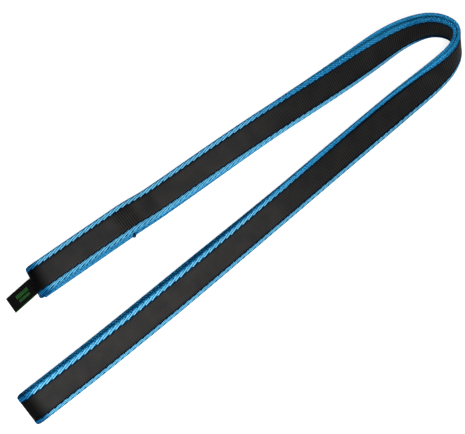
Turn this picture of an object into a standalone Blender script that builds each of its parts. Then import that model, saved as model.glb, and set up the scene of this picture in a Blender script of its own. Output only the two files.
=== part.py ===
"""A sewn webbing sling lying flattened and bent into a hairpin, in metres, +Z up.

One flat tape, black with a blue selvedge on each side, runs round the whole loop. Its two ends
overlap in a sewn splice beside the upper fold, where a small label is caught between them. The
loop is flattened into two layers, so each limb shows two tapes, one on the other, and the limb
with the splice shows three. The hairpin's bend stands on its edge; the limbs lean over from it.
"""

import math

import bmesh
import bpy
import numpy as np
from mathutils import Matrix, Vector

# The flattened loop
FLAT_LENGTH = 0.601
WEBBING_WIDTH = 0.0175
TAPE_THICKNESS = 0.0019
EDGE_BAND_WIDTH = 0.0028
CLEARANCE = 0.0003

# The splice, measured from the upper fold
SPLICE_LENGTH = 0.057
SPLICE_RAMP = 0.020

# The bar tacks that sew the two tape ends together, their widths as shares of the webbing's
TACK_COUNT = 5
TACK_LENGTH = 0.0026
TACK_WIDTH_SHARE = 0.595
TACK_THICKNESS = 0.0004
TACK_WEB_LENGTH = 0.0010
TACK_WEB_WIDTH_SHARE = 0.275
TACK_END_MARGIN = 0.0060
TACK_CORNER_RADIUS = 0.0006

# The label, its width as a share of the webbing's
LABEL_WIDTH_SHARE = 0.53
LABEL_THICKNESS = 0.00035
LABEL_FLAP_LENGTH = 0.0135
LABEL_ROOT_DEPTH = 0.0110
LABEL_TURN = math.radians(5.0)
LABEL_FLOOR_CLEARANCE = 0.0004

# The route of the flattened loop's middle: share of the flat length, then heading, roll or opening.
# The heading turns about +Z from +X. The roll raises the tape's left edge from lying flat.
# The opening between the loop's two layers is a share of the tape's thickness.
HEADING_SHARES = (
    (0.00, -2.7),
    (0.11, -2.7),
    (0.17, -2.5),
    (0.30, -4.6),
    (0.38, -2.5),
    (0.43, -18.5),
    (0.46, -62.4),
    (0.48, -131.4),
    (0.50, -165.3),
    (0.52, -176.2),
    (0.55, -180.0),
    (0.60, -178.2),
    (0.68, -177.8),
    (0.80, -178.2),
    (1.00, -180.8),
)
ROLL_SHARES = (
    (0.00, 6.2),
    (0.12, 6.2),
    (0.24, 18.1),
    (0.34, 34.3),
    (0.42, 68.6),
    (0.48, 103.2),
    (0.54, 135.6),
    (0.60, 151.8),
    (0.70, 149.3),
    (0.82, 144.6),
    (1.00, 145.0),
)
OPENING_SHARES = (
    (0.00, 1.15),
    (0.11, 1.15),
    (0.25, 1.09),
    (0.38, 1.52),
    (0.48, 0.02),
    (0.56, 0.00),
    (0.70, 0.01),
    (0.85, 1.85),
    (1.00, 1.31),
)

# How finely the shapes are divided
ROUTE_SAMPLES = 1241
STATION_STEP_SHARE = 0.018
STATION_TURN = math.radians(6.0)
FOLD_STEPS = 12
EDGE_STEPS = 4
CORNER_STEPS = 3

SPACING_LEAST = (TAPE_THICKNESS + CLEARANCE) / 2
LABEL_ROOM = LABEL_THICKNESS + 2 * CLEARANCE
HALF_WIDTH = WEBBING_WIDTH / 2
HALF_TAPE = TAPE_THICKNESS / 2
CORE_HALF_WIDTH = HALF_WIDTH - EDGE_BAND_WIDTH
TACK_WIDTH = WEBBING_WIDTH * TACK_WIDTH_SHARE
TACK_WEB_WIDTH = WEBBING_WIDTH * TACK_WEB_WIDTH_SHARE
LABEL_WIDTH = WEBBING_WIDTH * LABEL_WIDTH_SHARE


def smooth_through(pairs, places):
    """Monotone cubic through (place, value) pairs, which never swings past its points."""
    keys, values = np.array(pairs, float).T
    width = np.diff(keys)
    slope = np.diff(values) / width
    tangent = np.zeros(len(keys))
    tangent[0], tangent[-1] = slope[0], slope[-1]
    for i in range(1, len(keys) - 1):
        if slope[i - 1] * slope[i] > 0:
            near, far = 2 * width[i] + width[i - 1], width[i] + 2 * width[i - 1]
            tangent[i] = (near + far) / (near / slope[i - 1] + far / slope[i])
    index = np.clip(np.searchsorted(keys, places, side="right") - 1, 0, len(width) - 1)
    step = width[index]
    u = (places - keys[index]) / step
    start, end = values[index], values[index + 1]
    return (
        start * (1 + 2 * u) * (1 - u) ** 2
        + end * u**2 * (3 - 2 * u)
        + step * tangent[index] * u * (1 - u) ** 2
        - step * tangent[index + 1] * u**2 * (1 - u)
    )


def ease(u):
    """Goes from 0 to 1 with level ends."""
    u = np.clip(u, 0, 1)
    return u * u * (3 - 2 * u)


class Route:
    """The flattened loop along its middle: places, directions and the layers' offsets."""

    def __init__(self):
        self.share = np.linspace(0, 1, ROUTE_SAMPLES)
        self.heading = np.radians(smooth_through(HEADING_SHARES, self.share))
        self.roll = np.radians(smooth_through(ROLL_SHARES, self.share))
        opening = smooth_through(OPENING_SHARES, self.share)
        splice = SPLICE_LENGTH / FLAT_LENGTH
        spliced = 1 - ease((self.share - splice) / (SPLICE_RAMP / FLAT_LENGTH))
        self.spacing = SPACING_LEAST + opening * HALF_TAPE
        self.under = self.spacing + spliced * (TAPE_THICKNESS + LABEL_ROOM)
        across, along = np.sin(self.heading), np.cos(self.heading)
        step = FLAT_LENGTH / (ROUTE_SAMPLES - 1)
        x = np.concatenate([[0], np.cumsum(along[1:] + along[:-1]) * step / 2])
        y = np.concatenate([[0], np.cumsum(across[1:] + across[:-1]) * step / 2])
        lean = np.cos(self.roll)
        below = np.where(lean > 0, lean * self.under, -lean * self.spacing)
        z = np.abs(np.sin(self.roll)) * (HALF_WIDTH - HALF_TAPE) + HALF_TAPE + below
        self.middle = np.stack([x, y, z], axis=1)

    def stations(self, start, end):
        """Shares from start to end, close together where the route turns, rolls or steps down."""
        turning = np.abs(np.gradient(self.heading)) + np.abs(np.gradient(self.roll))
        stepping = np.abs(np.gradient(self.under)) / HALF_TAPE * STATION_TURN
        pace = np.gradient(self.share) / STATION_STEP_SHARE + (turning + stepping) / STATION_TURN
        passed = np.concatenate([[0], np.cumsum(pace[1:])])
        first, last = np.interp([start, end], self.share, passed)
        count = math.ceil(last - first)
        return np.interp(np.linspace(first, last, count + 1), passed, self.share)

    def frames(self, shares):
        """Middle, forward, width and inward directions, layer spacing and floor offset there."""
        middle = np.stack([np.interp(shares, self.share, column) for column in self.middle.T], axis=1)
        heading = np.interp(shares, self.share, self.heading)
        roll = np.interp(shares, self.share, self.roll)[:, None]
        zero, one = np.zeros(len(shares)), np.ones(len(shares))
        forward = np.stack([np.cos(heading), np.sin(heading), zero], axis=1)
        left = np.stack([-np.sin(heading), np.cos(heading), zero], axis=1)
        up = np.stack([zero, zero, one], axis=1)
        width = left * np.cos(roll) + up * np.sin(roll)
        inward = up * np.cos(roll) - left * np.sin(roll)
        spacing = np.interp(shares, self.share, self.spacing)[:, None]
        under = np.interp(shares, self.share, self.under)[:, None]
        return middle, forward, width, inward, spacing, under


def fold(route, share, side):
    """The tape's turn round one end of the flattened loop, as places, width and inward directions."""
    middle, forward, width, inward, spacing, _ = (value[0] for value in route.frames(np.array([share])))
    angle = np.linspace(0, math.pi, FOLD_STEPS + 1)[1:-1, None]
    out = side * forward
    leaving = inward * side
    places = middle + spacing * (out * np.sin(angle) - leaving * np.cos(angle))
    inside = leaving * np.cos(angle) - out * np.sin(angle)
    return places, np.repeat(width[None], len(angle), axis=0), inside


def tape_path(route):
    """The one tape from its end under the splice, round the whole loop, to its other end."""
    splice = SPLICE_LENGTH / FLAT_LENGTH
    there = route.stations(0, 1)
    middle, _, width, inward, _, under = route.frames(there)
    outer = (middle - inward * under, width, inward)
    lower_fold = fold(route, 1.0, 1)
    back = there[::-1]
    middle, _, width, inward, spacing, _ = route.frames(back)
    inner = (middle + inward * spacing, width, -inward)
    upper_fold = fold(route, 0.0, -1)
    middle, _, width, inward, spacing, _ = route.frames(route.stations(0, splice))
    tail = (middle - inward * spacing, width, inward)
    return [np.concatenate(parts) for parts in zip(outer, lower_fold, inner, upper_fold, tail)]


def swept(name, path, outline):
    """A closed solid of the outline (width, thickness) carried along the path."""
    places, widths, inwards = path
    mesh = bmesh.new()
    rings = [
        [mesh.verts.new(place + a * width + c * inward) for a, c in outline]
        for place, width, inward in zip(places, widths, inwards)
    ]
    count = len(outline)
    for ring, following in zip(rings, rings[1:]):
        for k in range(count):
            after = (k + 1) % count
            mesh.faces.new((ring[k], ring[after], following[after], following[k]))
    mesh.faces.new(reversed(rings[0]))
    mesh.faces.new(rings[-1])
    return new_object(name, mesh)


def new_object(name, mesh):
    """The finished mesh as an object of the scene."""
    data = bpy.data.meshes.new(name)
    mesh.to_mesh(data)
    mesh.free()
    obj = bpy.data.objects.new(name, data)
    bpy.context.scene.collection.objects.link(obj)
    return obj


def core_outline():
    """The black middle of the tape, flat on both faces."""
    a, c = CORE_HALF_WIDTH, HALF_TAPE
    return [(-a, -c), (a, -c), (a, c), (-a, c)]


def edge_outline(side):
    """One blue selvedge: flat beside the core and round along the tape's edge."""
    inner = CORE_HALF_WIDTH + CLEARANCE
    centre = HALF_WIDTH - HALF_TAPE
    angles = np.linspace(-math.pi / 2, math.pi / 2, EDGE_STEPS + 1)
    arc = [(centre + HALF_TAPE * math.cos(t), HALF_TAPE * math.sin(t)) for t in angles]
    outline = [(inner, -HALF_TAPE), *arc, (inner, HALF_TAPE)]
    if side > 0:
        return outline
    return [(-a, c) for a, c in reversed(outline)]


def rounded_rectangle(length, width, radius):
    """Corners of a rectangle with rounded corners, counter-clockwise about its middle."""
    points = []
    for quarter, (sign_x, sign_y) in enumerate(((1, 1), (-1, 1), (-1, -1), (1, -1))):
        corner_x = sign_x * (length / 2 - radius)
        corner_y = sign_y * (width / 2 - radius)
        for step in range(CORNER_STEPS + 1):
            angle = (quarter + step / CORNER_STEPS) * math.pi / 2
            points.append((corner_x + radius * math.cos(angle), corner_y + radius * math.sin(angle)))
    return points


def stacked(name, levels):
    """A closed solid through outlines of equally many points, each at its own height."""
    mesh = bmesh.new()
    rings = [[mesh.verts.new((x, y, height)) for x, y in outline] for height, outline in levels]
    count = len(rings[0])
    for ring, following in zip(rings, rings[1:]):
        for k in range(count):
            after = (k + 1) % count
            mesh.faces.new((ring[k], ring[after], following[after], following[k]))
    mesh.faces.new(reversed(rings[0]))
    mesh.faces.new(rings[-1])
    return new_object(name, mesh)


def tack_solid(name, grown, overrun):
    """A bar tack: a pad on each face of the splice, joined by the stitches through both tapes.

    Grown by a clearance, the same form is the recess and slot that the tack lies in.
    """
    half_stack = TAPE_THICKNESS + LABEL_ROOM / 2
    face = half_stack + overrun
    shoulder = half_stack - TACK_THICKNESS - grown
    pad = rounded_rectangle(TACK_LENGTH + 2 * grown, TACK_WIDTH + 2 * grown, TACK_CORNER_RADIUS)
    web_length = TACK_WEB_LENGTH + 2 * grown
    web = rounded_rectangle(web_length, TACK_WEB_WIDTH + 2 * grown, web_length / 3)
    levels = ((-face, pad), (-shoulder, pad), (-shoulder, web), (shoulder, web), (shoulder, pad), (face, pad))
    return stacked(name, levels)


def plate(name, outline, thickness):
    """A flat sheet of the outline, centred on its own plane."""
    return stacked(name, ((-thickness / 2, outline), (thickness / 2, outline)))


def axes_at(place, x_axis, y_axis, z_axis):
    """The matrix that puts an object at a place with the given axes."""
    rotation = Matrix((x_axis, y_axis, z_axis)).transposed().to_4x4()
    return Matrix.Translation(place) @ rotation


def cut(target, cutter):
    """Takes the cutter's form out of the target."""
    cutter.hide_render = True
    cutter.display_type = "WIRE"
    modifier = target.modifiers.new(cutter.name, "BOOLEAN")
    modifier.operation = "DIFFERENCE"
    modifier.solver = "EXACT"
    modifier.object = cutter


def material(name, colour, roughness):
    """A plain woven finish."""
    finish = bpy.data.materials.new(name)
    finish.use_nodes = True
    shader = finish.node_tree.nodes["Principled BSDF"]
    shader.inputs["Base Color"].default_value = (*colour, 1.0)
    shader.inputs["Roughness"].default_value = roughness
    shader.inputs["Metallic"].default_value = 0.0
    return finish


def dress(obj, finish):
    """Gives a solid its material and smooth shading between its sharp edges."""
    obj.data.materials.append(finish)
    obj.data.shade_smooth()
    obj.data.set_sharp_from_angle(angle=math.radians(40.0))


def splice_frame(route, share, depth):
    """Matrix in the splice: X along the tape, Y across it, Z inward, at a depth below the middle."""
    middle, forward, width, inward, spacing, _ = (value[0] for value in route.frames(np.array([share])))
    place = Vector(middle - inward * (spacing[0] + depth))
    return axes_at(place, Vector(forward), Vector(width), Vector(inward))


def label_side(reach, side):
    """The label's edge at a reach beyond the fold, as its place across the tape."""
    return side * LABEL_WIDTH / (2 * math.cos(LABEL_TURN)) - reach * math.tan(LABEL_TURN)


def hinge_reach():
    """How far beyond the fold's centre the label's crease lies, clear of the fold's nose."""
    nose = SPACING_LEAST + OPENING_SHARES[0][1] * HALF_TAPE + HALF_TAPE
    return nose + 2 * CLEARANCE + LABEL_THICKNESS


def crease_gap():
    """Half the gap that the crease leaves between root and flap, so that the flap can stand up."""
    return LABEL_THICKNESS / 2 + CLEARANCE / 2


def build_webbing(route):
    """The tape's black core and its two blue selvedges."""
    path = tape_path(route)
    black = material("black_weave", (0.012, 0.012, 0.013), 0.85)
    blue = material("blue_selvedge", (0.04, 0.30, 0.68), 0.70)
    core = swept("webbing_core", path, core_outline())
    dress(core, black)
    for name, side in (("edge_band_raised", 1), ("edge_band_floor", -1)):
        dress(swept(name, path, edge_outline(side)), blue)
    return core


def build_tacks(route, core):
    """The bar tacks down the splice, and the recesses that they lie in."""
    thread = material("tack_thread", (0.02, 0.02, 0.022), 0.60)
    depth = (TAPE_THICKNESS + LABEL_ROOM) / 2
    reaches = np.linspace(TACK_END_MARGIN, SPLICE_LENGTH - TACK_END_MARGIN, TACK_COUNT)
    cutters = []
    for number, reach in enumerate(reaches, start=1):
        frame = splice_frame(route, reach / FLAT_LENGTH, depth)
        tack = tack_solid(f"bar_tack_{number}", 0.0, 0.0)
        tack.matrix_world = frame
        dress(tack, thread)
        cutter = tack_solid(f"tack_recess_{number}", CLEARANCE, CLEARANCE / 2)
        cutter.matrix_world = frame
        cut(core, cutter)
        cutters.append(cutter)
    return cutters


def build_label(route, first_cutter):
    """The label's sewn root between the tape's ends, and its flap, which lifts about the crease."""
    tape = material("label_tape", (0.015, 0.018, 0.015), 0.75)
    depth = (TAPE_THICKNESS + LABEL_ROOM) / 2
    seat = splice_frame(route, 0.0, depth)
    crease = hinge_reach()
    near, far = crease - crease_gap(), crease + crease_gap()
    root_outline = [
        (-near, label_side(near, -1)),
        (LABEL_ROOT_DEPTH, label_side(-LABEL_ROOT_DEPTH, -1)),
        (LABEL_ROOT_DEPTH, label_side(-LABEL_ROOT_DEPTH, 1)),
        (-near, label_side(near, 1)),
    ]
    root = plate("label_root", root_outline, LABEL_THICKNESS)
    root.matrix_world = seat
    dress(root, tape)
    cut(root, first_cutter)

    axis_y = label_side(crease, 0)
    axis = seat @ Vector((-crease, axis_y, 0.0))
    forward, width, inward = (seat.col[i].to_3d() for i in range(3))
    end = crease + LABEL_FLAP_LENGTH
    low_corner = label_side(end, -1) - axis_y
    drop = axis.z + low_corner * width.z - LABEL_THICKNESS / 2 * inward.z - LABEL_FLOOR_CLEARANCE
    pitch = math.asin(drop / (LABEL_FLAP_LENGTH * inward.z))
    flap_outline = [
        (crease_gap(), axis_y - label_side(far, 1)),
        (LABEL_FLAP_LENGTH, axis_y - label_side(end, 1)),
        (LABEL_FLAP_LENGTH, axis_y - label_side(end, -1)),
        (crease_gap(), axis_y - label_side(far, -1)),
    ]
    flap = plate("label_flap", flap_outline, LABEL_THICKNESS)
    outward = -forward * math.cos(pitch) - inward * math.sin(pitch)
    flap.matrix_world = axes_at(axis, outward, -width, outward.cross(-width))
    dress(flap, tape)


def settle():
    """Puts the origin under the middle of the part's box, on the surface that it lies on."""
    solids = [obj for obj in bpy.data.objects if not obj.hide_render]
    corners = np.array([obj.matrix_world @ vertex.co for obj in solids for vertex in obj.data.vertices])
    low, high = corners.min(axis=0), corners.max(axis=0)
    ground = bpy.data.objects.new("ground", None)
    bpy.context.scene.collection.objects.link(ground)
    for obj in bpy.data.objects:
        if obj != ground:
            obj.parent = ground
    ground.location = (-(low[0] + high[0]) / 2, -(low[1] + high[1]) / 2, -low[2])


def main():
    for obj in list(bpy.data.objects):
        bpy.data.objects.remove(obj)
    route = Route()
    core = build_webbing(route)
    cutters = build_tacks(route, core)
    build_label(route, cutters[0])
    settle()


main()
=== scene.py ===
"""A sewn webbing sling lying flattened and bent into a hairpin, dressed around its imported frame.

One flat tape, black with a blue twill selvedge on each side, runs round the whole flattened loop. Its
two ends overlap in a sewn splice beside the upper fold, where a small label is caught between them.
All lengths are in metres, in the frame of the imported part.
"""

import logging
import math
from collections.abc import Callable
from dataclasses import dataclass, field
from enum import Enum

import bmesh
import bpy
import numpy as np
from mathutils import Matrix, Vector


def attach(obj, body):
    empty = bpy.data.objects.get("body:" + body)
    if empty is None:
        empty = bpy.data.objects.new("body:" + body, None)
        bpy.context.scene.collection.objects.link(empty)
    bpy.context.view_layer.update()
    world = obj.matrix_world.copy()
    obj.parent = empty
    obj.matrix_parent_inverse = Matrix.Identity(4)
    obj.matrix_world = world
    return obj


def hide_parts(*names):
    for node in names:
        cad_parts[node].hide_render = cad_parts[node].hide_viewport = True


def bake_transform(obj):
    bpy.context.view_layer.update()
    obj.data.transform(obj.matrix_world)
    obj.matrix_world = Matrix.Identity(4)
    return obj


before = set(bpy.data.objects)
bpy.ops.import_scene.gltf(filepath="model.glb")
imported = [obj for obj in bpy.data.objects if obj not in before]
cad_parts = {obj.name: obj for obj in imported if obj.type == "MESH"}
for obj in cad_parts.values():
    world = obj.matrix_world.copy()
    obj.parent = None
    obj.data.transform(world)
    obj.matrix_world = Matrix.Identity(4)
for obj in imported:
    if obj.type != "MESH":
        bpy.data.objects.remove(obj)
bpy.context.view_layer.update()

LOG = logging.getLogger("sling")
SEAM = 1e-8

Array = np.ndarray
Marks = dict[str, Array]
Skin = tuple[Array, Marks]
Surface = Callable[[Array, Array], Skin]
Span = tuple[float, float]
Knots = tuple[Span, ...]
Triple = tuple[float, float, float]
Stops = tuple[tuple[float, Triple], ...]
Socket = bpy.types.NodeSocket
Piece = bpy.types.Object
Material = bpy.types.Material


class Side(Enum):
    """The tape's two edges: the one that the roll raises, and the one nearer the floor."""

    RAISED = 1
    FLOOR = -1


class TapeEnd(Enum):
    """The tape's two cut ends, both under the upper limb."""

    HIDDEN = "melted_end_hidden"
    SHOWING = "melted_end_showing"


def smooth_through(pairs: Knots, places: Array) -> Array:
    """Monotone cubic through (place, value) pairs, which never swings past its points.

    Args:
        pairs: The places and values that the curve goes through.
        places: Where it is wanted.

    Returns:
        The curve's value at each place.
    """
    keys, values = np.array(pairs, float).T
    width = np.diff(keys)
    slope = np.diff(values) / width
    tangent = np.zeros(len(keys))
    tangent[0], tangent[-1] = slope[0], slope[-1]
    for i in range(1, len(keys) - 1):
        if slope[i - 1] * slope[i] > 0:
            near, far = 2 * width[i] + width[i - 1], width[i] + 2 * width[i - 1]
            tangent[i] = (near + far) / (near / slope[i - 1] + far / slope[i])
    index = np.clip(np.searchsorted(keys, places, side="right") - 1, 0, len(width) - 1)
    step = width[index]
    u = (places - keys[index]) / step
    start, end = values[index], values[index + 1]
    return (
        start * (1 + 2 * u) * (1 - u) ** 2
        + end * u**2 * (3 - 2 * u)
        + step * tangent[index] * u * (1 - u) ** 2
        - step * tangent[index + 1] * u**2 * (1 - u)
    )


def ease(value: Array) -> Array:
    """Goes from 0 to 1 with level ends."""
    held = np.clip(value, 0, 1)
    return held * held * (3 - 2 * held)


def mound(away: Array, half_width: float, power: int = 4) -> Array:
    """1 at no distance, falling away beyond the half width, more abruptly for a higher power."""
    return np.exp(-((away / half_width) ** power))


def ripple(turns: Array) -> Array:
    """A wave that goes from 0 to 1 and back in each turn."""
    return 0.5 - 0.5 * np.cos(2 * math.pi * turns)


def powered(wave: Array, power: float) -> Array:
    """A wave with its size raised to a power and its sign kept."""
    return np.sign(wave) * np.abs(wave) ** power


def rounded_ends(share: Array, power: int) -> Array:
    """1 along a piece and 0 at both its ends, rounded more tightly for a higher power."""
    return np.sqrt(np.clip(1 - np.abs(2 * share - 1) ** power, 0, 1))


def unit(vectors: Array) -> Array:
    """The rows of an array of vectors, each made one long."""
    return vectors / np.linalg.norm(vectors, axis=-1, keepdims=True)


@dataclass(frozen=True)
class TapeSizes:
    """The webbing's own sizes."""

    flat_length: float = 0.601
    width: float = 0.0175
    thickness: float = 0.0019
    band_width: float = 0.0028
    layer_gap: float = 0.0003
    splice_length: float = 0.057
    splice_ramp: float = 0.020
    label_thickness: float = 0.00035

    @property
    def half_width(self) -> float:
        """Half the tape's width."""
        return self.width / 2

    @property
    def half_tape(self) -> float:
        """Half the tape's thickness."""
        return self.thickness / 2

    @property
    def label_room(self) -> float:
        """What the label and its two gaps take between the tape's ends."""
        return self.label_thickness + 2 * self.layer_gap


@dataclass
class Route:
    """The flattened loop along its middle: places, directions and the layers' offsets.

    The tables give degrees, or half thicknesses for the opening, at shares of the flat length.
    """

    tape: TapeSizes
    start: Span = (-0.1163145, 0.0261180)
    samples: int = 1241
    heading_shares: Knots = (
        (0.00, -2.7), (0.11, -2.7), (0.17, -2.5), (0.30, -4.6), (0.38, -2.5), (0.43, -18.5), (0.46, -62.4),
        (0.48, -131.4), (0.50, -165.3), (0.52, -176.2), (0.55, -180.0), (0.60, -178.2), (0.68, -177.8),
        (0.80, -178.2), (1.00, -180.8),
    )
    roll_shares: Knots = (
        (0.00, 6.2), (0.12, 6.2), (0.24, 18.1), (0.34, 34.3), (0.42, 68.6), (0.48, 103.2), (0.54, 135.6),
        (0.60, 151.8), (0.70, 149.3), (0.82, 144.6), (1.00, 145.0),
    )
    opening_shares: Knots = (
        (0.00, 1.15), (0.11, 1.15), (0.25, 1.09), (0.38, 1.52), (0.48, 0.02), (0.56, 0.00), (0.70, 0.01),
        (0.85, 1.85), (1.00, 1.31),
    )
    share: Array = field(init=False)
    heading: Array = field(init=False)
    roll: Array = field(init=False)
    spacing: Array = field(init=False)
    under: Array = field(init=False)
    middle: Array = field(init=False)

    def __post_init__(self) -> None:
        """Works the route out at its samples."""
        tape = self.tape
        self.share = np.linspace(0, 1, self.samples)
        self.heading = np.radians(smooth_through(self.heading_shares, self.share))
        self.roll = np.radians(smooth_through(self.roll_shares, self.share))
        opening = smooth_through(self.opening_shares, self.share)
        splice = tape.splice_length / tape.flat_length
        spliced = 1 - ease((self.share - splice) / (tape.splice_ramp / tape.flat_length))
        self.spacing = (tape.thickness + tape.layer_gap) / 2 + opening * tape.half_tape
        self.under = self.spacing + spliced * (tape.thickness + tape.label_room)
        step = tape.flat_length / (self.samples - 1)
        x, y = (
            start + np.concatenate([[0], np.cumsum(way[1:] + way[:-1]) * step / 2])
            for start, way in zip(self.start, (np.cos(self.heading), np.sin(self.heading)))
        )
        lean = np.cos(self.roll)
        below = np.where(lean > 0, lean * self.under, -lean * self.spacing)
        z = np.abs(np.sin(self.roll)) * (tape.half_width - tape.half_tape) + tape.half_tape + below
        self.middle = np.stack([x, y, z], axis=1)

    def frames(self, shares: Array) -> tuple[Array, Array, Array, Array, Array, Array]:
        """Where the loop's middle is, and which way it faces.

        Args:
            shares: Shares of the flat length.

        Returns:
            Middle, forward, width and inward directions, layer spacing and floor offset there.
        """
        known = (*self.middle.T, self.heading, self.roll, self.spacing, self.under)
        *middle, heading, roll, spacing, under = (np.interp(shares, self.share, row)[:, None] for row in known)
        zero = np.zeros_like(heading)
        forward = np.hstack([np.cos(heading), np.sin(heading), zero])
        left = np.hstack([-np.sin(heading), np.cos(heading), zero])
        up = np.hstack([zero, zero, zero + 1])
        width = left * np.cos(roll) + up * np.sin(roll)
        inward = up * np.cos(roll) - left * np.sin(roll)
        return np.hstack(middle), forward, width, inward, spacing, under


@dataclass
class TapePath:
    """The one tape from its hidden end, round the whole loop, to its end in the splice."""

    route: Route
    fold_steps: int = 28
    nose_length: float = 0.0084
    skew: float = 0.0024
    skew_length: float = 0.017
    sharp_radius: float = 0.012
    places: Array = field(init=False)
    widths: Array = field(init=False)
    insides: Array = field(init=False)
    reach: Array = field(init=False)
    shares: Array = field(init=False)
    bending: Array = field(init=False)
    noses: Array = field(init=False)

    def __post_init__(self) -> None:
        """Joins the loop's legs and folds and measures along them."""
        tape = self.route.tape
        there = self.route.share
        middle, _, width, inward, spacing, under = self.route.frames(there)
        outer = (middle - inward * under, width, inward)
        inner = ((middle + inward * spacing)[::-1], width[::-1], -inward[::-1])
        tail_shares = there[there < tape.splice_length / tape.flat_length]
        middle, _, width, inward, spacing, _ = self.route.frames(tail_shares)
        tail = (middle - inward * spacing, width, inward)
        legs = (outer, self.fold(1.0, 1), inner, self.fold(0.0, -1), tail)
        self.places, self.widths, self.insides = (np.concatenate(part) for part in zip(*legs))
        turned = np.ones(self.fold_steps - 1)
        self.shares = np.concatenate([there, turned, there[::-1], 0 * turned, tail_shares])
        steps = np.linalg.norm(np.diff(self.places, axis=0), axis=1)
        self.reach = np.concatenate([[0], np.cumsum(steps)])
        going = np.gradient(self.places, self.reach, axis=0)
        turning = np.gradient(going, self.reach, axis=0)
        self.bending = np.abs(np.sum(turning * self.insides, axis=1))
        turn = self.fold_steps // 2
        self.noses = self.reach[[len(there) + turn, 2 * len(there) + self.fold_steps + turn]]

    @property
    def length(self) -> float:
        """The tape's length along its middle plane."""
        return float(self.reach[-1])

    def fold(self, share: float, side: int) -> tuple[Array, Array, Array]:
        """The tape's turn round one end of the flattened loop.

        Args:
            share: The end's share of the flat length.
            side: 1 for the turn beyond the end, -1 for the turn before it.

        Returns:
            Places, width directions and inward directions round the turn.
        """
        frames = self.route.frames(np.array([share]))
        middle, forward, width, inward, spacing, _ = (value[0] for value in frames)
        angle = np.linspace(0, math.pi, self.fold_steps + 1)[1:-1, None]
        out = side * forward
        leaving = inward * side
        places = middle + spacing * (out * np.sin(angle) - leaving * np.cos(angle))
        inside = leaving * np.cos(angle) - out * np.sin(angle)
        return places, np.repeat(width[None], len(angle), axis=0), inside

    def frames(self, reach: Array) -> tuple[Array, Array, Array]:
        """The tape's place and directions at distances along it.

        Args:
            reach: Distances from the hidden end.

        Returns:
            Places in the tape's middle, width directions and inward directions.
        """

        def along(rows: Array) -> Array:
            return np.stack([np.interp(reach, self.reach, column) for column in rows.T], axis=1)

        return along(self.places), unit(along(self.widths)), unit(along(self.insides))

    def bent(self, reach: Array) -> Array:
        """How sharply the tape bends there, from 0 for flat to 1 for the sharp radius or less."""
        return np.clip(np.interp(reach, self.reach, self.bending) * self.sharp_radius, 0, 1)

    def along_loop(self, pairs: Knots, reach: Array) -> Array:
        """A value given at shares of the flattened loop, at distances along the tape."""
        return smooth_through(pairs, np.interp(reach, self.reach, self.shares))

    def near_nose(self, reach: Array) -> Array:
        """How near a fold's nose is, from 0 away from both to 1 on one."""
        away = np.min(np.abs(reach[:, None] - self.noses[None]), axis=1)
        return mound(away, self.nose_length)

    def surface(self, reach: Array, across: Array, depth: Array) -> Array:
        """Points at distances along the tape, across it to the raised edge and through it to the inside."""
        place, width, inside = self.frames(reach)
        return place + width * across[:, None] + inside * depth[:, None] + self.skewed(reach, across)

    def skewed(self, reach: Array, across: Array) -> Array:
        """How far the upper fold's nose and the hidden end are drawn in, most at the raised edge.

        Args:
            reach: Distances along the tape.
            across: Distances across it from its middle, towards the raised edge.

        Returns:
            The points' shifts.
        """
        forward = self.route.frames(np.zeros(1))[1]
        nearness = sum(mound(reach - middle, self.skew_length) for middle in (0.0, self.noses[1]))
        return forward * (self.skew * nearness * (0.5 + across / self.route.tape.width))[:, None]


@dataclass(frozen=True)
class Weave:
    """The pattern that both colours of yarn share.

    The selvedge's floats lie in slanted lanes, one more at each repeat, and each repeat steps the
    border with the black like a saw tooth. The black's ribs run across, three in each repeat.
    """

    repeat: float = 0.00395
    ribs_in_repeat: int = 3
    slant: float = math.radians(15.0)
    tooth: float = 0.00070
    border: float = 0.00025
    shadow_line: float = 0.00075
    shadow_fade: float = 0.00012
    rib_depth: float = 0.00008
    lane_depth: float = 0.00012
    lane_groove: float = 0.30
    warp_spacing: float = 0.00042
    dot_pitch: float = 0.00100

    @property
    def rib(self) -> float:
        """Distance from rib to rib along the tape."""
        return self.repeat / self.ribs_in_repeat

    @property
    def lane(self) -> float:
        """A lane's width across the tape."""
        return self.repeat * math.tan(self.slant)


def placed(name: str, data: bpy.types.ID) -> Piece:
    """Makes a mesh, light or camera an object of the scene."""
    obj = bpy.data.objects.new(name, data)
    bpy.context.scene.collection.objects.link(obj)
    return obj


def object_from(mesh: bmesh.types.BMesh, name: str) -> Piece:
    """Makes a finished mesh an object of the scene.

    Args:
        mesh: The mesh, which is freed.
        name: The piece's name.

    Returns:
        The object, at the origin.
    """
    data = bpy.data.meshes.new(name)
    mesh.to_mesh(data)
    mesh.free()
    data.shade_smooth()
    return placed(name, data)


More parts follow.
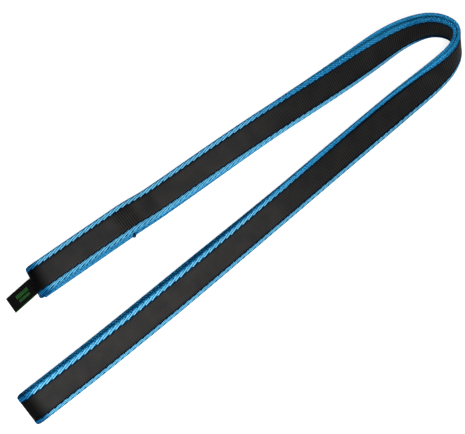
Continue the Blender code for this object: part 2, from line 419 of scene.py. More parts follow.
def wrapped_grid(
    mesh: bmesh.types.BMesh, along: int, around: int, surface: Surface, names: tuple[str, ...] = ("tone",)
) -> None:
    """Adds a closed tube: a grid wrapped round, its seam merged and its two ends filled.

    Args:
        mesh: Gets the tube, its attributes and its UV map.
        along: Steps along the tube.
        around: Steps round it.
        surface: Gives points and attributes for shares along and steps round; the first and the
            last step are one line.
        names: The attributes' names.
    """
    uv_map = mesh.loops.layers.uv.verify()
    layers = [mesh.verts.layers.float.get(name) or mesh.verts.layers.float.new(name) for name in names]
    verts = bmesh.ops.create_grid(mesh, x_segments=along, y_segments=around, size=1.0, calc_uvs=True)["verts"]
    flat = (np.array([vert.co.xy[:] for vert in verts]) + 1) / 2
    steps = np.round(flat * (along, around)).astype(int)
    points, marks = surface(steps[:, 0] / along, steps[:, 1])
    for vert, point in zip(verts, points.tolist()):
        vert.co = point
    for name, layer in zip(names, layers):
        for vert, value in zip(verts, marks[name].tolist()):
            vert[layer] = value
    faces = {face for vert in verts for face in vert.link_faces}
    bmesh.ops.remove_doubles(mesh, verts=verts, dist=SEAM)
    rims = [edge for edge in mesh.edges if edge.is_boundary]
    caps = bmesh.ops.holes_fill(mesh, edges=rims, sides=0)["faces"]
    for cap in caps:
        for loop in cap.loops:
            loop[uv_map].uv = (0.0, 0.0)
    bmesh.ops.recalc_face_normals(mesh, faces=[face for face in faces if face.is_valid] + caps)


class Shading:
    """A material's node tree with short calls for the nodes that the finishes use."""

    BUMP = 0.6

    def __init__(self, name: str) -> None:
        """Starts a material of that name with one Principled shader."""
        self.material = bpy.data.materials.new(name)
        self.material.use_nodes = True
        self.nodes = self.material.node_tree.nodes
        self.links = self.material.node_tree.links
        self.shader = self.nodes["Principled BSDF"]

    def add(self, kind: str, inputs: dict[str | int, object] | None = None, **settings: object) -> bpy.types.Node:
        """Adds a node.

        Args:
            kind: The node's type name.
            inputs: Values or sockets for its inputs, by name or number.
            **settings: The node's own properties.

        Returns:
            The node.
        """
        node = self.nodes.new(kind)
        for key, value in settings.items():
            setattr(node, key, value)
        for key, value in (inputs or {}).items():
            self.feed(node.inputs[key], value)
        return node

    def feed(self, socket: Socket, value: object) -> None:
        """Links a socket to another, or sets its value."""
        if isinstance(value, Socket):
            self.links.new(value, socket)
        else:
            socket.default_value = value

    def maths(self, operation: str, first: object, second: object = 0.0) -> Socket:
        """The result of a Math node."""
        return self.add("ShaderNodeMath", {0: first, 1: second}, operation=operation).outputs[0]

    def times(self, first: object, second: object) -> Socket:
        """The product of two numbers."""
        return self.maths("MULTIPLY", first, second)

    def ramp(self, factor: object, stops: Stops) -> Socket:
        """The colour that a Color Ramp gives for a factor."""
        node = self.add("ShaderNodeValToRGB", {"Fac": factor})
        elements = node.color_ramp.elements
        while len(elements) < len(stops):
            elements.new(0.5)
        for element, (place, colour) in zip(elements, stops):
            element.position = place
            element.color = (*colour, 1.0)
        return node.outputs["Color"]

    def mixed(self, factor: object, first: object, second: object, blend: str = "MIX") -> Socket:
        """The colour that a Mix node gives. Its sockets share their names, so they go by number."""
        inputs = {0: factor, 6: first, 7: second}
        return self.add("ShaderNodeMix", inputs, data_type="RGBA", blend_type=blend, clamp_factor=True).outputs[2]

    def attribute(self, name: str) -> Socket:
        """A named attribute of the mesh, as a number."""
        return self.add("ShaderNodeAttribute", attribute_name=name).outputs["Fac"]

    def climb(self, value: object, span: Span, heights: Span = (0.0, 1.0), way: str = "SMOOTHSTEP") -> Socket:
        """A clamped step from the first height to the second while a value crosses a span."""
        ends = {"From Min": span[0], "From Max": span[1], "To Min": heights[0], "To Max": heights[1]}
        node = self.add("ShaderNodeMapRange", {"Value": value, **ends}, interpolation_type=way, clamp=True)
        return node.outputs["Result"]

    def between(self, factor: object, first: object, second: object) -> Socket:
        """A number that goes from the first to the second as the factor goes from 0 to 1."""
        inputs = {0: factor, 2: first, 3: second}
        return self.add("ShaderNodeMix", inputs, data_type="FLOAT", clamp_factor=True).outputs[0]

    def noise(self, scale: float, detail: float = 2.0) -> Socket:
        """Noise over the object's own coordinates."""
        place = self.add("ShaderNodeTexCoord").outputs["Object"]
        node = self.add("ShaderNodeTexNoise", {"Vector": place, "Scale": scale, "Detail": detail})
        return node.outputs["Fac"]

    def uv(self) -> tuple[Socket, Socket]:
        """The piece's own UV map: shares of its length and of the way round it."""
        split = self.add("ShaderNodeSeparateXYZ", {0: self.add("ShaderNodeUVMap").outputs[0]})
        return split.outputs[0], split.outputs[1]

    def paint(self, base: Socket, patches: Socket, tint: Stops) -> None:
        """Colours the shader with a base colour that a tint varies in patches."""
        colour = self.mixed(1.0, base, self.ramp(patches, tint), "MULTIPLY")
        self.feed(self.shader.inputs["Base Color"], colour)

    def finished(self, height: object, relief: float, roughness: float, specular: float) -> Material:
        """Gives the shader its bump and its shine.

        Args:
            height: What the bump follows.
            relief: How deep it looks, in metres.
            roughness: The shader's roughness.
            specular: The shader's specular level.

        Returns:
            The finished material.
        """
        node = self.add("ShaderNodeBump", {"Height": height, "Distance": relief, "Strength": self.BUMP})
        self.links.new(node.outputs["Normal"], self.shader.inputs["Normal"])
        self.set(Roughness=roughness, Specular_IOR_Level=specular)
        return self.material

    def set(self, **values: float | tuple[float, ...]) -> None:
        """Sets the shader's own sockets, with underscores for the spaces in their names."""
        for key, value in values.items():
            self.shader.inputs[key.replace("_", " ")].default_value = value


@dataclass(frozen=True)
class BlackWeave:
    """Matt black nylon, ribbed across, with its warp ends as a fine bump.

    The UV map's U covers the tape's length, and its V the way round the tape's middle.
    """

    length: float
    girth: float
    weave: Weave
    tones: Stops = ((0.0, (0.0007, 0.0007, 0.0008)), (1.0, (0.0232, 0.0225, 0.0221)))
    patch_scale: float = 110.0
    tint: Stops = ((0.30, (0.80, 0.80, 0.82)), (0.70, (1.12, 1.10, 1.08)))
    crossing: float = 0.6
    relief: float = 0.00005
    roughness: float = 0.45
    specular: float = 0.015

    def material(self) -> Material:
        """Builds the finish."""
        tree = Shading("black_weave")
        # The tone attribute brings painted shade into the black's colour.
        base = tree.ramp(tree.attribute("tone"), self.tones)
        tree.paint(base, tree.noise(self.patch_scale, detail=3.0), self.tint)
        along, round_it = tree.uv()
        rows = tree.times(along, self.length / self.weave.rib * math.pi)
        ends = tree.times(round_it, self.girth / self.weave.warp_spacing * math.pi)
        thread = tree.maths("ABSOLUTE", tree.maths("SINE", ends))
        over = tree.times(tree.maths("SINE", rows), tree.maths("SINE", ends))
        height = tree.maths("ADD", thread, tree.times(over, self.crossing))
        return tree.finished(height, self.relief, self.roughness, self.specular)


@dataclass(frozen=True)
class BlueTwill:
    """Bright blue nylon floats in slanted pairs, navy where they dip and dotted round the edge.

    The UV map's U covers the tape's length. Spans of phase are shares of a lane, and spans of waves
    lie between -1 and 1.
    """

    length: float
    weave: Weave
    face: Stops = (
        (0.02, (0.0008, 0.0060, 0.0140)), (0.22, (0.0010, 0.025, 0.080)), (0.52, (0.010, 0.130, 0.288)),
        (0.92, (0.120, 0.380, 0.550)),
    )
    edge: Stops = (
        (0.01, (0.0008, 0.0060, 0.0140)), (0.15, (0.0020, 0.040, 0.115)), (0.31, (0.0085, 0.122, 0.275)),
        (0.56, (0.024, 0.255, 0.490)), (1.0, (0.048, 0.460, 0.850)),
    )
    edge_range: float = 1.6
    tint: Stops = ((0.30, (0.86, 0.92, 0.94)), (0.70, (1.10, 1.06, 1.04)))
    tint_scale: float = 160.0
    wander_scale: float = 420.0
    wander: float = 0.20
    dip_phase: Span = (0.08, 0.30)
    dot_wave: Span = (-0.8, 0.8)
    dot_depth: Span = (0.45, 1.0)
    bead_wave: Span = (-0.1, 0.9)
    bead_phase: Span = (0.05, 0.35)
    fleck_scale: float = 700.0
    fleck_noise: Span = (0.35, 0.62)
    fleck_depth: Span = (0.35, 1.0)
    bead_gain: float = 1.10
    bead_floor: float = 0.15
    crease_shade_depth: float = 0.85
    relief: float = 0.00010
    roughness: float = 0.50
    specular: float = 0.0

    def pattern(self, tree: Shading) -> Socket:
        """The floats' height, from 0 where they dip to 1 on their backs.

        Args:
            tree: The material's nodes.

        Returns:
            The height.
        """
        maths, times = tree.maths, tree.times
        reach = times(tree.uv()[0], self.length)
        wander = times(maths("SUBTRACT", tree.noise(self.wander_scale), 0.5), self.wander)
        phase = maths("ADD", tree.attribute("lane"), wander)
        dip = maths("SUBTRACT", 1.0, tree.climb(maths("PINGPONG", phase, 0.5), self.dip_phase))
        wave = maths("COSINE", times(reach, 2 * math.pi / self.weave.dot_pitch))
        dots = tree.climb(wave, self.dot_wave, self.dot_depth, "LINEAR")
        floats = maths("SUBTRACT", 1.0, times(dip, dots))
        twice = times(phase, 2.0)
        shift = times(maths("FLOOR", twice), math.pi)
        turns = times(reach, 2 * math.pi / self.weave.rib)
        beads = tree.climb(maths("COSINE", maths("ADD", turns, shift)), self.bead_wave)
        rows = tree.climb(maths("PINGPONG", twice, 0.5), self.bead_phase)
        fleck = tree.climb(tree.noise(self.fleck_scale), self.fleck_noise, self.fleck_depth)
        beads = times(times(beads, rows), fleck)
        edge = maths("ADD", times(beads, self.bead_gain), self.bead_floor)
        # Painted shade in the floor-side crease, where the floats dip.
        crease = times(tree.attribute("crease"), times(dip, self.crease_shade_depth))
        height = tree.between(tree.attribute("edge"), floats, edge)
        return times(height, maths("SUBTRACT", 1.0, crease))

    def material(self) -> Material:
        """Builds the finish."""
        tree = Shading("blue_twill")
        pattern = self.pattern(tree)
        # The tone attribute brings painted light and shade into the blue's colour.
        tone = tree.times(pattern, tree.attribute("tone"))
        face = tree.ramp(tone, self.face)
        edge = tree.ramp(tree.times(tone, 1 / self.edge_range), self.edge)
        tree.paint(tree.mixed(tree.attribute("edge"), face, edge), tree.noise(self.tint_scale), self.tint)
        return tree.finished(pattern, self.relief, self.roughness, self.specular)


@dataclass(frozen=True)
class MeltedNylon:
    """The scorched, glossy bead where a hot knife cut the tape."""

    streaks: Stops = ((0.4, (0.001, 0.006, 0.022)), (0.7, (0.004, 0.028, 0.085)))
    streak_scale: float = 900.0
    lump_scale: float = 1800.0
    relief: float = 0.0001
    roughness: float = 0.34
    specular: float = 0.15

    def material(self) -> Material:
        """Builds the finish."""
        tree = Shading("melted_nylon")
        base = tree.ramp(tree.noise(self.streak_scale, detail=3.0), self.streaks)
        tree.feed(tree.shader.inputs["Base Color"], base)
        return tree.finished(tree.noise(self.lump_scale, detail=3.0), self.relief, self.roughness, self.specular)


@dataclass(frozen=True)
class StitchThread:
    """Black bonded thread, packed tight, with its twist as a fine bump."""

    tones: Stops = ((0.1, (0.003, 0.003, 0.004)), (0.9, (0.030, 0.030, 0.034)))
    twist_scale: float = 6500.0
    relief: float = 0.00003
    roughness: float = 0.40
    specular: float = 0.45
    sheen: float = 0.1

    def material(self) -> Material:
        """Builds the finish."""
        tree = Shading("stitch_thread")
        tree.feed(tree.shader.inputs["Base Color"], tree.ramp(tree.attribute("tone"), self.tones))
        tree.set(Sheen_Weight=self.sheen, Sheen_Roughness=self.roughness)
        return tree.finished(tree.noise(self.twist_scale), self.relief, self.roughness, self.specular)


@dataclass(frozen=True)
class LabelSatin:
    """A woven label's satin ground, or the yarn of its woven marks."""

    name: str
    tones: Stops
    grain: float = 6000.0
    patch_scale: float = 420.0
    tint: Stops = ((0.3, (0.75, 0.75, 0.75)), (0.7, (1.2, 1.2, 1.2)))
    relief: float = 0.00003
    roughness: float = 0.50
    specular: float = 0.02

    def material(self) -> Material:
        """Builds the finish."""
        tree = Shading(self.name)
        base = tree.ramp(tree.attribute("tone"), self.tones)
        tree.paint(base, tree.noise(self.patch_scale, detail=3.0), self.tint)
        return tree.finished(tree.noise(self.grain), self.relief, self.roughness, self.specular)


def dressed(obj: Piece, material: Material, body: str = "sling") -> Piece:
    """Gives a piece its finish and the body that it rides on.

    Args:
        obj: The piece.
        material: Its finish.
        body: The body that carries it.

    Returns:
        The piece.
    """
    obj.data.materials.append(material)
    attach(obj, body)
    LOG.info("%s: %d faces on %s", obj.name, len(obj.data.polygons), body)
    return obj


@dataclass(frozen=True)
class RibLook:
    """How strongly painted shade darkens the black's rib valleys along the tape, and the painted shade that dims the
    black as a whole.
    """

    # Painted shade in the rib valleys: plainly, round the bend, where it bends and at the splice's step, up to the
    # most.
    plain: float = 0.24
    opened: float = 0.62
    bent: float = 0.75
    step_shade: float = 0.70
    most: float = 0.95
    bent_depth: float = 1.5
    # Painted shade that dims the black round the bend, in the bend's hollow and at the folds' noses.
    bend_shade: float = 0.16
    hollow_shade: float = 0.40
    hollow_shade_spread: float = 1.5
    nose_shade: float = 0.99


@dataclass(frozen=True)
class SelvedgeLook:
    """The painted light and shade on a selvedge, and where its edge's beads and its painted crease shade lie."""

    nose_shade: float = 0.60
    bend_highlight: float = 0.28
    opened_beads: float = 0.8
    sharpest_shade: float = 0.34
    hollow_shade: float = 0.85
    floor_beads: float = 0.55
    floor_gentler: float = 0.4
    bead_fade: float = 0.0006
    bead_lead: float = 0.3
    crease_place: float = 0.0002
    crease_width: float = 0.0004


@dataclass
class Webbing:
    """The black middle of the tape and its two twill selvedges.

    The tables up to floor_squeeze go by shares of the flattened loop, the later ones by distance
    along the tape. hollow and step_down are such a distance with the half length of what lies there.
    """

    path: TapePath
    weave: Weave
    ribs: RibLook = RibLook()
    selvedge: SelvedgeLook = SelvedgeLook()
    core_segments: int = 7
    samples_in_rib: int = 4
    samples_in_repeat: int = 6
    face_steps: int = 26
    edge_steps: int = 20
    inside_steps: int = 3
    lip: float = 0.00085
    proud: float = 0.00006
    bare: float = 0.00006
    sunk: float = 0.00040
    wobble: float = 0.00007
    waves: Knots = ((0.0413, 0.5), (0.0671, 2.1), (0.0257, 4.4))
    edge_squareness: float = 0.55
    curl: float = 0.00170
    # Where the weave opens round the bend; painted light and shade are placed there too.
    opened: Knots = ((0.0, 0.0), (0.20, 0.0), (0.31, 1.0), (0.65, 1.0), (0.77, 0.0), (1.0, 0.0))
    gentler: Knots = (
        (0.0, 0.0), (0.08, 0.0), (0.17, 0.38), (0.31, 0.55), (0.65, 0.55), (0.77, 0.36), (0.88, 0.12), (1.0, 0.0)
    )
    # Where painted shade darkens the raised selvedge at the bend's sharpest part.
    sharpest: Knots = ((0.0, 0.0), (0.40, 0.0), (0.445, 1.0), (0.49, 1.0), (0.53, 0.0), (1.0, 0.0))
    floor_squeeze: Knots = ((0.0, 0.90), (0.20, 0.88), (0.36, 0.62), (0.57, 0.60), (0.70, 0.68), (1.0, 0.70))
    raised_squeeze: Knots = (
        (0.0, 1.0), (0.305, 1.0), (0.335, 0.45), (0.37, 0.50), (0.42, 0.82), (0.50, 1.0), (1.2738, 1.0)
    )
    # How strongly painted shade darkens the floor-side crease, along the tape.
    crease_shade_strength: Knots = ((0.0, 1.0), (0.95, 1.0), (1.02, 0.3), (1.125, 0.3), (1.16, 1.12), (1.2738, 1.12))
    # Painted light on the floor-side walls, then on the raised walls.
    floor_wall_light: Knots = ((0.0, 1.1), (0.98, 1.1), (1.03, 1.6), (1.14, 1.6), (1.17, 1.1), (1.2738, 1.1))
    wall_light: Knots = (
        (0.0, 1.0), (0.14, 1.0), (0.22, 3.0), (0.31, 3.0), (0.35, 2.4), (0.40, 2.3), (0.47, 1.0), (0.53, 1.3),
        (0.609, 1.5), (0.765, 1.0), (0.84, 3.0), (0.91, 3.0), (0.95, 1.9), (1.00, 1.9), (1.066, 1.0), (1.2738, 1.0),
    )
    # The painted shadow in the bend's hollow, then the splice's step, where painted shade darkens the rib valleys
    # more.
    hollow_shadow: Span = (0.934, 0.020)
    step_down: Span = (1.1523, 0.0064)

    @property
    def tape(self) -> TapeSizes:
        """The tape's sizes."""
        return self.path.route.tape

    @property
    def core_half_width(self) -> float:
        """Half the width of the black middle."""
        return self.tape.half_width - self.tape.band_width

    @property
    def flat(self) -> float:
        """How far a selvedge stays flat before its edge's round."""
        return self.tape.band_width - self.tape.half_tape

    def build(self) -> list[Piece]:
        """Builds the core, then both selvedges."""
        return [self.build_core(), *(self.build_band(side) for side in Side)]

    def uneven(self, reach: Array) -> Array:
        """The small rise and fall that the tape keeps from being wound up."""
        total = sum(np.sin(2 * math.pi * reach / length + phase) for length, phase in self.waves)
        return total * self.wobble / len(self.waves)

    def build_core(self) -> Piece:
        """The black middle, ribbed across on both faces, its ribs opened where it bends."""
        half, deep, look = self.core_half_width, self.tape.half_tape, self.ribs
        steps = np.linspace(-half, half, self.core_segments + 1)
        across = np.concatenate([steps, steps[::-1], steps[:1]])
        face = np.concatenate([-np.ones(len(steps)), np.ones(len(steps)), [-1.0]])
        around = len(across) - 1
        ribs = round(self.path.length / self.weave.rib)

        def surface(share: Array, index: Array) -> Skin:
            reach = share * self.path.length
            rib = ripple(share * ribs)
            bent = self.path.bent(reach)
            sunk = self.weave.rib_depth * (1 + look.bent_depth * bent) * (1 - rib)
            depth = face[index] * (deep - sunk) + self.uneven(reach)
            opened = self.path.along_loop(self.opened, reach)
            step_shade = mound(reach - self.step_down[0], self.step_down[1])
            # Where the painted shadow in the bend's hollow falls.
            hollow_shadow = mound(reach - self.hollow_shadow[0], self.hollow_shadow[1] * look.hollow_shade_spread)
            # Painted shade: the rib valleys darken, more round the bend, where it bends and at the splice's step.
            contrast = look.plain + look.opened * opened + look.bent * bent + look.step_shade * step_shade
            tone = 1 - np.minimum(contrast, look.most) * (1 - rib)
            # Painted shade dims the black round the bend and in the bend's hollow.
            tone = tone * (1 - look.bend_shade * opened) * (1 - look.hollow_shade * hollow_shadow)
            # Painted shade darkens the black towards the folds' noses.
            tone = tone * (1 - look.nose_shade * self.path.near_nose(reach))
            return self.path.surface(reach, across[index], depth), {"tone": tone}

        mesh = bmesh.new()
        wrapped_grid(mesh, ribs * self.samples_in_rib, around, surface)
        core = object_from(mesh, "webbing_core_weave")
        finish = BlackWeave(self.path.length, 4 * half, self.weave)
        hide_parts("webbing_core")
        return dressed(core, finish.material())

    def band_outline(self) -> tuple[Array, Array, Array, Array]:
        """One selvedge's outline from its lip on the loop's outside, round the edge, to the inside.

        Returns:
            Distances beyond the core's edge along the outline, places beyond the core's edge, depths,
            and outward directions as (across, depth).
        """
        half, flat = self.tape.half_tape, self.flat
        face = np.linspace(-self.lip, flat, self.face_steps + 1)
        turn = np.linspace(0, math.pi, self.edge_steps + 1)[1:]
        inside = np.linspace(flat, 0, self.inside_steps + 1)[1:]
        way = np.concatenate([face, flat + turn * half, math.pi * half + 2 * flat - inside])
        bulge = half * powered(np.sin(turn), self.edge_squareness)
        level = -half * powered(np.cos(turn), self.edge_squareness)
        beyond = np.concatenate([face, flat + bulge, inside])
        depth = np.concatenate([np.full(len(face), -half), level, np.full(len(inside), half)])
        out = np.zeros((len(way), 2))
        out[:, 1] = np.sign(depth)
        rounded = slice(len(face), len(face) + len(turn))
        out[rounded] = np.stack([np.sin(turn), -np.cos(turn)], axis=1)
        return tuple(np.concatenate([part, part[:1]]) for part in (way, beyond, depth, out))

    def squeeze(self, side: Side, reach: Array) -> Array:
        """How much of its width the selvedge's pattern keeps, less where the edge curls under."""
        if side is Side.RAISED:
            return smooth_through(self.raised_squeeze, reach)
        return self.path.along_loop(self.floor_squeeze, reach)

    def band_marks(self, side: Side, reach: Array, past: Array, on_face: Array, covered: Array) -> Marks:
        """A selvedge's tone, which carries painted light and shade, its share of the edge's beads, and its painted
        crease shade.

        Args:
            side: Which edge of the tape.
            reach: Distances along the tape.
            past: Distances round the outline, beyond the flat part.
            on_face: Whether each point is on the flat outer face.
            covered: Whether blue covers the black there.

        Returns:
            The attributes by name.
        """
        look = self.selvedge
        # Painted shadow line where the blue leaves the black bare on the face, and painted shade towards the folds'
        # noses.
        tone = np.where(covered | ~on_face, 1.0, 0.0) * (1 - look.nose_shade * self.path.near_nose(reach))
        beads = ease(past / look.bead_fade + look.bead_lead)
        if side is Side.RAISED:
            opened = self.path.along_loop(self.opened, reach)
            # Painted light on the raised face round the bend and on the raised walls.
            tone = tone * np.where(on_face, 1 + look.bend_highlight * opened, smooth_through(self.wall_light, reach))
            # Painted shade at the bend's sharpest part.
            tone = tone * (1 - look.sharpest_shade * self.path.along_loop(self.sharpest, reach))
            beads = beads + (1 - beads) * look.opened_beads * opened
            return {"tone": tone, "edge": beads, "crease": np.zeros(len(reach))}
        # Painted shadow in the bend's hollow.
        tone = tone * (1 - look.hollow_shade * mound(reach - self.hollow_shadow[0], self.hollow_shadow[1]))
        # Painted light on the floor-side walls.
        tone = tone * np.where(on_face, 1.0, smooth_through(self.floor_wall_light, reach))
        # Painted shade in the floor-side crease.
        crease = mound(past - look.crease_place, look.crease_width, power=2) * smooth_through(self.crease_shade_strength, reach)
        return {"tone": tone, "edge": look.floor_beads * beads, "crease": crease}

    def build_band(self, side: Side) -> Piece:
        """One blue selvedge, its floats in relief and its border stepped like a saw.

        Args:
            side: Which edge of the tape.

        Returns:
            The selvedge.
        """
        weave = self.weave
        way, beyond, depth, out = self.band_outline()
        around = len(way) - 1
        repeats = round(self.path.length / weave.repeat)
        gentler_share = 1.0 if side is Side.RAISED else self.selvedge.floor_gentler

        def surface(share: Array, index: Array) -> Skin:
            reach = share * self.path.length
            here = way[index]
            kept = self.squeeze(side, reach)
            lane = here / (weave.lane * kept) + side.value * reach / weave.repeat
            rise = ease(np.abs(lane - np.round(lane)) / weave.lane_groove)
            turn = np.mod(share * repeats, 1.0)
            climb = turn if side is Side.FLOOR else 1 - turn
            gentler = self.path.along_loop(self.gentler, reach)
            tooth = weave.tooth * kept * (1 - gentler * gentler_share)
            border = tooth * (climb - 0.5) + weave.border + self.curl * (1 - kept)
            covered = here > border
            buried = ease((border - weave.shadow_line - here) / weave.shadow_fade)
            on_face = (out[index, 0] == 0) & (depth[index] < 0)
            relief = weave.lane_depth * (rise - 1) * covered - self.bare * ~covered
            relief = relief + np.where(on_face, self.proud - self.sunk * buried, 0.0)
            across = self.core_half_width + beyond[index] + out[index, 0] * relief
            through = depth[index] + out[index, 1] * relief + self.uneven(reach)
            marks = self.band_marks(side, reach, here - self.flat, on_face, covered)
            return self.path.surface(reach, side.value * across, through), {"lane": lane, **marks}

        mesh = bmesh.new()
        names = ("tone", "lane", "edge", "crease")
        wrapped_grid(mesh, repeats * self.samples_in_repeat, around, surface, names)
        band = object_from(mesh, f"selvedge_{side.name.lower()}")
        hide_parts(f"edge_band_{side.name.lower()}")
        return dressed(band, BlueTwill(self.path.length, weave).material())


@dataclass
class MeltedEnds:
    """The dark beads that keep the tape's two cut ends from fraying.

    The end that shows also has a corner drawn out past the tape's edge nearer the floor.
    """

    path: TapePath
    overhang: float = 0.00018
    bead: float = 0.00085
    proud: float = 0.00002
    set_back: float = 0.0002
    corner: float = 0.00150
    corner_share: float = 1 / 14
    swell: float = 0.7
    swell_share: float = 1 / 10
    ending_power: int = 14
    lump: float = 0.10
    lump_wave: float = 2300.0
    lump_swing: float = 3.0
    swing_wave: float = 900.0
    fine_lump: float = 0.05
    fine_wave: float = 1500.0
    fine_turns: int = 3
    probe: float = 0.0005
    around: int = 28
    along: int = 90

    def build(self) -> list[Piece]:
        """Builds both ends."""
        return [self.build_end(end) for end in TapeEnd]

    def lumps(self, across: Array, angle: Array) -> Array:
        """The bead's uneven thickness, about 1."""
        swing = self.lump_swing * np.sin(across * self.swing_wave)
        fine = self.fine_lump * np.sin(self.fine_turns * angle + across * self.fine_wave)
        return 1 + self.lump * np.sin(across * self.lump_wave + swing) + fine

    def build_end(self, end: TapeEnd) -> Piece:
        """One end's bead, lying across the tape.

        Args:
            end: Which end.

        Returns:
            The bead.
        """
        tape = self.path.route.tape
        hidden = end is TapeEnd.HIDDEN
        reach = 0.0 if hidden else self.path.length
        before = self.probe if hidden else -self.probe
        places, widths, insides = self.path.frames(np.array([reach, reach + before]))
        place, width, inside = places[0], widths[0], insides[0]
        forward = unit(place - places[1])
        half = tape.half_width + self.overhang

        def surface(share: Array, step: Array) -> Skin:
            across = (2 * share - 1) * half
            swell = 0.0
            if not hidden:
                across = across - self.corner * ease(1 - share / self.corner_share)
                swell = self.swell * ease(1 - share / self.swell_share)
            angle = 2 * math.pi * step / self.around
            thick = self.lumps(across, angle) * rounded_ends(share, self.ending_power)
            x = np.cos(angle) * self.bead * thick * (1 + swell) - self.set_back
            z = np.sin(angle) * (tape.half_tape + self.proud) * thick
            points = place + forward * x[:, None] + width * across[:, None] + inside * z[:, None]
            return points + self.path.skewed(np.full(len(across), reach), across), {}

        mesh = bmesh.new()
        wrapped_grid(mesh, self.along, self.around, surface, ())
        return dressed(object_from(mesh, end.value), MeltedNylon().material())


@dataclass
class BarTacks:
    """The bar tacks down the splice: dense zigzag stitches through both tape ends."""

    route: Route
    count: int = 5
    length: float = 0.0026
    width: float = 0.0104
    rise: float = 0.00034
    sink: float = 0.00022
    end_margin: float = 0.0060
    stitch_pitch: float = 0.00030
    stitch_steps: int = 4
    ending_power: int = 10
    squareness: float = 0.6
    narrowed: float = 0.07
    lowered: float = 0.38
    around: int = 24

    def build(self) -> list[Piece]:
        """Builds every bar tack."""
        reaches = np.linspace(self.end_margin, self.route.tape.splice_length - self.end_margin, self.count)
        finish = StitchThread().material()
        return [self.build_tack(number, float(reach), finish) for number, reach in enumerate(reaches, start=1)]

    def build_tack(self, number: int, reach: float, finish: Material) -> Piece:
        """One bar tack: a ridged satin pad on each face of the splice.

        Args:
            number: Its place from the upper fold.
            reach: Its distance from the upper fold.
            finish: The thread's finish.

        Returns:
            The bar tack.
        """
        tape = self.route.tape
        frames = self.route.frames(np.array([reach / tape.flat_length]))
        middle, forward, width, inward, spacing, _ = (value[0] for value in frames)
        centre = middle - inward * (spacing[0] + (tape.thickness + tape.label_room) / 2)
        face = tape.thickness + tape.label_room / 2 - self.sink
        stitches = round(self.width / self.stitch_pitch)
        mesh = bmesh.new()
        for sign in (-1.0, 1.0):

            def surface(share: Array, step: Array, sign: float = sign) -> Skin:
                angle = 2 * math.pi * step / self.around
                ending = rounded_ends(share, self.ending_power)
                ridge = ripple(share * stitches)
                x = powered(np.cos(angle), self.squareness) * self.length / 2 * (1 - self.narrowed * (1 - ridge))
                across = (share - 0.5) * self.width + x / self.length * self.stitch_pitch
                rise = np.sin(angle) * self.rise * ending * (1 - self.lowered * (1 - ridge))
                points = centre + forward * (x * ending)[:, None] + width * across[:, None]
                return points + inward * (sign * face + rise)[:, None], {"tone": ridge}

            wrapped_grid(mesh, stitches * self.stitch_steps, self.around, surface)
        tack = object_from(mesh, f"bar_tack_{number}_stitches")
        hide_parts(f"bar_tack_{number}")
        return dressed(tack, finish)


@dataclass(frozen=True)
class MarkRow:
    """A row of the label's woven bars: its sides, its two ends past the crease, and its bars."""

    sides: Span
    ends: Span
    count: int
    fill: float


